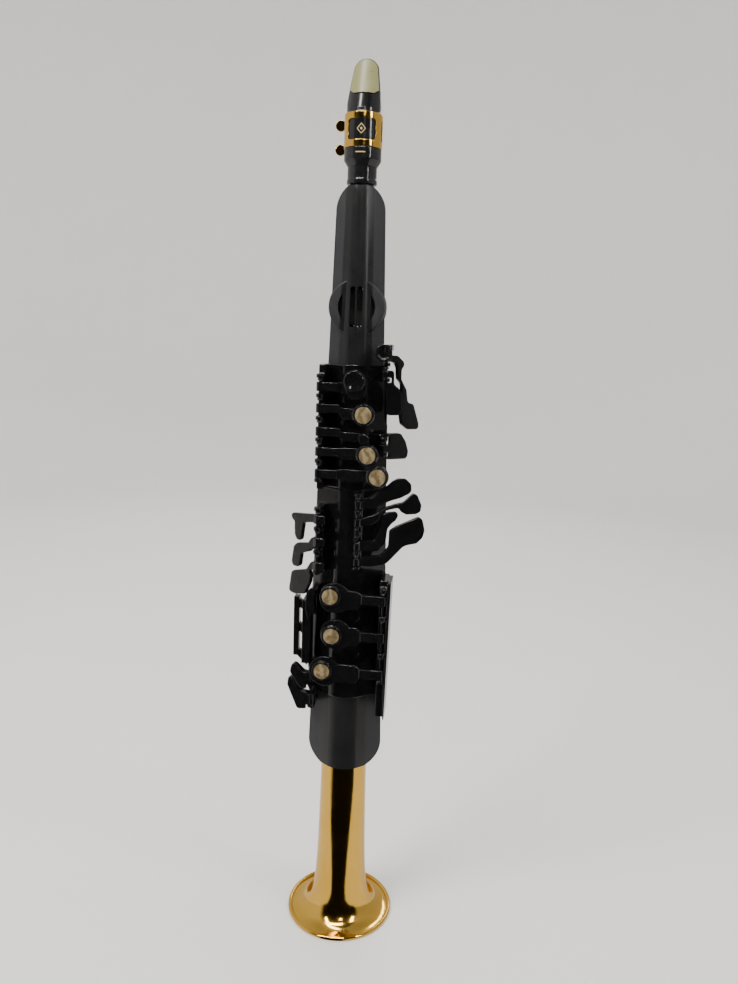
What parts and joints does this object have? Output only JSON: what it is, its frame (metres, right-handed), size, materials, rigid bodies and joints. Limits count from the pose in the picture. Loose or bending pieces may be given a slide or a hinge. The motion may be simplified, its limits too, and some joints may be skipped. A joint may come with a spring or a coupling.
{
  "type": "soprano saxophone",
  "caption": "Straight digital saxophone with sprung keys, a flared brass bell, a moulded casing and a reed mouthpiece held by a ligature.",
  "frame": {"origin": "centre of the bell's rim, in the plane that the rim stands on", "axes": "+Z along the instrument to the mouthpiece tip, -Y is the front with the finger keys, +X to the right of someone facing the front"},
  "size_m": [0.1075, 0.0912, 0.699],
  "materials": {
    "matte_black": "fine moulded matte charcoal black",
    "gloss_black": "polished black moulding",
    "gold_lacquer": "polished brass under clear gold lacquer",
    "resin_black": "polished black resin",
    "pearl": "imitation mother of pearl, brown to cream",
    "khaki_patch": "pale olive tooth patch",
    "reed_resin": "straw coloured resin",
    "cork": "fine grained cork",
    "steel": "drawn steel",
    "blued_steel": "dark blued spring steel",
    "driver_black": "plain black moulding",
    "circuit_green": "green solder mask",
    "battery_sleeve": "printed metal sleeve",
    "window_glass": "smoked clear plastic"
  },
  "bodies": {
    "instrument": {"casing_front": "matte_black", "casing_rear": "matte_black", "speaker_ring": "matte_black", "speaker_driver": "driver_black", "bell": "gold_lacquer", "neck_tenon": "matte_black", "neck_cork": "cork", "upper_key_bed": "gloss_black", "lower_key_bed": "gloss_black", "low_key_bracket": "gloss_black", "hinge_rods": "gloss_black", "key_springs": "blued_steel", "main_board": "circuit_green", "battery_cells": "battery_sleeve", "breath_sensor": "driver_black", "thumb_hook": "gloss_black", "thumb_rest": "gloss_black", "strap_ring": "gold_lacquer", "jack_sockets": "driver_black", "display_window": "window_glass", "casing_screws": "steel", "octave_stand": "gloss_black"},
    "mouthpiece_set": {"mouthpiece": "resin_black", "mouthpiece_patch": "khaki_patch", "reed": "reed_resin", "ligature": "gold_lacquer"},
    "front_f_key": {"front_f_key": "gloss_black"},
    "b_key": {"b_key": "gloss_black", "b_pearl": "pearl"},
    "bis_key": {"bis_key": "gloss_black"},
    "a_key": {"a_key": "gloss_black", "a_pearl": "pearl"},
    "g_key": {"g_key": "gloss_black", "g_pearl": "pearl"},
    "palm_d_key": {"palm_d_key": "gloss_black"},
    "palm_eb_key": {"palm_eb_key": "gloss_black"},
    "palm_f_key": {"palm_f_key": "gloss_black"},
    "g_sharp_key": {"g_sharp_key": "gloss_black"},
    "c_sharp_key": {"c_sharp_key": "gloss_black"},
    "low_b_key": {"low_b_key": "gloss_black"},
    "low_bb_key": {"low_bb_key": "gloss_black"},
    "side_e_key": {"side_e_key": "gloss_black"},
    "side_c_key": {"side_c_key": "gloss_black"},
    "side_bb_key": {"side_bb_key": "gloss_black"},
    "high_f_sharp_key": {"high_f_sharp_key": "gloss_black"},
    "f_key": {"f_key": "gloss_black", "f_pearl": "pearl"},
    "e_key": {"e_key": "gloss_black", "e_pearl": "pearl"},
    "d_key": {"d_key": "gloss_black", "d_pearl": "pearl"},
    "low_eb_key": {"low_eb_key": "gloss_black"},
    "low_c_key": {"low_c_key": "gloss_black"},
    "octave_key": {"octave_key": "gloss_black"},
    "ligature_screw_lower": {"ligature_screw_lower": "gold_lacquer"},
    "ligature_screw_upper": {"ligature_screw_upper": "gold_lacquer"},
    "battery_cover": {"battery_cover": "matte_black"},
    "power_button": {"power_button": "matte_black"},
    "control_knob": {"control_knob": "matte_black"},
    "thumb_slider": {"thumb_slider": "gloss_black"}
  },
  "joints": [
    {"name": "press_front_f_key", "type": "hinge", "parent": "instrument", "child": "front_f_key", "pos_m": [-0.0235, -0.02598, 0.4615], "axis": [0, 0, 1], "range_deg": [0, 5], "stiffness_Nm_per_rad": 0.12, "springref_deg": -8.59},
    {"name": "press_b_key", "type": "hinge", "parent": "instrument", "child": "b_key", "pos_m": [-0.0235, -0.02598, 0.4453], "axis": [0, 0, 1], "range_deg": [0, 5], "stiffness_Nm_per_rad": 0.12, "springref_deg": -8.59},
    {"name": "press_bis_key", "type": "hinge", "parent": "instrument", "child": "bis_key", "pos_m": [-0.0235, -0.02598, 0.4276], "axis": [0, 0, 1], "range_deg": [0, 5], "stiffness_Nm_per_rad": 0.12, "springref_deg": -8.59},
    {"name": "press_a_key", "type": "hinge", "parent": "instrument", "child": "a_key", "pos_m": [-0.0235, -0.02598, 0.4122], "axis": [0, 0, 1], "range_deg": [0, 5], "stiffness_Nm_per_rad": 0.12, "springref_deg": -8.59},
    {"name": "press_g_key", "type": "hinge", "parent": "instrument", "child": "g_key", "pos_m": [-0.0235, -0.02598, 0.3951], "axis": [0, 0, 1], "range_deg": [0, 5], "stiffness_Nm_per_rad": 0.12, "springref_deg": -8.59},
    {"name": "press_palm_d_key", "type": "hinge", "parent": "instrument", "child": "palm_d_key", "pos_m": [0.025, -0.017, 0.4726], "axis": [0, 0, 1], "range_deg": [0, 5], "stiffness_Nm_per_rad": 0.12, "springref_deg": -8.59},
    {"name": "press_palm_eb_key", "type": "hinge", "parent": "instrument", "child": "palm_eb_key", "pos_m": [0.025, -0.017, 0.4836], "axis": [0, 0, 1], "range_deg": [0, 5], "stiffness_Nm_per_rad": 0.12, "springref_deg": -8.59},
    {"name": "press_palm_f_key", "type": "hinge", "parent": "instrument", "child": "palm_f_key", "pos_m": [0.025, -0.017, 0.4155], "axis": [0, 0, 1], "range_deg": [0, 5], "stiffness_Nm_per_rad": 0.12, "springref_deg": -8.59},
    {"name": "press_g_sharp_key", "type": "hinge", "parent": "instrument", "child": "g_sharp_key", "pos_m": [0.008, -0.02448, 0.3718], "axis": [0, 0, 1], "range_deg": [0, 5], "stiffness_Nm_per_rad": 0.12, "springref_deg": -8.59},
    {"name": "press_c_sharp_key", "type": "hinge", "parent": "instrument", "child": "c_sharp_key", "pos_m": [0.008, -0.02448, 0.3578], "axis": [0, 0, 1], "range_deg": [0, 5], "stiffness_Nm_per_rad": 0.12, "springref_deg": -8.59},
    {"name": "press_low_b_key", "type": "hinge", "parent": "instrument", "child": "low_b_key", "pos_m": [0.008, -0.02448, 0.3384], "axis": [0, 0, 1], "range_deg": [0, 5], "stiffness_Nm_per_rad": 0.12, "springref_deg": -8.59},
    {"name": "press_low_bb_key", "type": "hinge", "parent": "instrument", "child": "low_bb_key", "pos_m": [0.008, -0.02448, 0.326], "axis": [0, 0, 1], "range_deg": [0, 5], "stiffness_Nm_per_rad": 0.12, "springref_deg": -8.59},
    {"name": "press_side_e_key", "type": "hinge", "parent": "instrument", "child": "side_e_key", "pos_m": [-0.0235, -0.024, 0.3584], "axis": [0, 0, -1], "range_deg": [0, 5], "stiffness_Nm_per_rad": 0.12, "springref_deg": -8.59},
    {"name": "press_side_c_key", "type": "hinge", "parent": "instrument", "child": "side_c_key", "pos_m": [-0.0235, -0.024, 0.3404], "axis": [0, 0, -1], "range_deg": [0, 5], "stiffness_Nm_per_rad": 0.12, "springref_deg": -8.59},
    {"name": "press_side_bb_key", "type": "hinge", "parent": "instrument", "child": "side_bb_key", "pos_m": [-0.0235, -0.024, 0.3206], "axis": [0, 0, -1], "range_deg": [0, 5], "stiffness_Nm_per_rad": 0.12, "springref_deg": -8.59},
    {"name": "press_high_f_sharp_key", "type": "hinge", "parent": "instrument", "child": "high_f_sharp_key", "pos_m": [-0.025, -0.021, 0.289], "axis": [0, 0, -1], "range_deg": [0, 5], "stiffness_Nm_per_rad": 0.12, "springref_deg": -8.59},
    {"name": "press_f_key", "type": "hinge", "parent": "instrument", "child": "f_key", "pos_m": [0.0305, -0.02934, 0.2971], "axis": [0, 0, -1], "range_deg": [0, 5], "stiffness_Nm_per_rad": 0.12, "springref_deg": -8.59},
    {"name": "press_e_key", "type": "hinge", "parent": "instrument", "child": "e_key", "pos_m": [0.0305, -0.02934, 0.2665], "axis": [0, 0, -1], "range_deg": [0, 5], "stiffness_Nm_per_rad": 0.12, "springref_deg": -8.59},
    {"name": "press_d_key", "type": "hinge", "parent": "instrument", "child": "d_key", "pos_m": [0.0305, -0.02934, 0.2353], "axis": [0, 0, -1], "range_deg": [0, 5], "stiffness_Nm_per_rad": 0.12, "springref_deg": -8.59},
    {"name": "press_low_eb_key", "type": "hinge", "parent": "instrument", "child": "low_eb_key", "pos_m": [-0.0265, -0.0193, 0.2255], "axis": [0, 0, -1], "range_deg": [0, 5], "stiffness_Nm_per_rad": 0.12, "springref_deg": -8.59},
    {"name": "press_low_c_key", "type": "hinge", "parent": "instrument", "child": "low_c_key", "pos_m": [-0.0265, -0.0193, 0.2055], "axis": [0, 0, -1], "range_deg": [0, 5], "stiffness_Nm_per_rad": 0.12, "springref_deg": -8.59},
    {"name": "press_octave_key", "type": "hinge", "parent": "instrument", "child": "octave_key", "pos_m": [0, 0.01932, 0.468], "axis": [-1, 0, 0], "range_deg": [0, 5], "stiffness_Nm_per_rad": 0.12, "springref_deg": -8.59},
    {"name": "pull_off_mouthpiece", "type": "slide", "parent": "instrument", "child": "mouthpiece_set", "axis": [0, 0, 1], "range_m": [0, 0.03]},
    {"name": "turn_ligature_screw_lower", "type": "hinge", "parent": "mouthpiece_set", "child": "ligature_screw_lower", "pos_m": [-0.0035, 0.0167, 0.6376], "axis": [1, 0, 0], "continuous": true},
    {"name": "turn_ligature_screw_upper", "type": "hinge", "parent": "mouthpiece_set", "child": "ligature_screw_upper", "pos_m": [-0.0035, 0.0167, 0.6548], "axis": [1, 0, 0], "continuous": true},
    {"name": "lift_battery_cover", "type": "slide", "parent": "instrument", "child": "battery_cover", "axis": [0, 1, 0], "range_m": [0, 0.03]},
    {"name": "press_power_button", "type": "slide", "parent": "instrument", "child": "power_button", "axis": [0, -1, 0], "range_m": [0, 0.001], "stiffness_N_per_m": 100, "springref_m": -0.005},
    {"name": "turn_control_knob", "type": "hinge", "parent": "instrument", "child": "control_knob", "pos_m": [0, 0.01837, 0.352], "axis": [0, 1, 0], "continuous": true},
    {"name": "move_thumb_slider", "type": "slide", "parent": "instrument", "child": "thumb_slider", "axis": [0, 0, 1], "range_m": [-0.005, 0.005]}
  ]
}
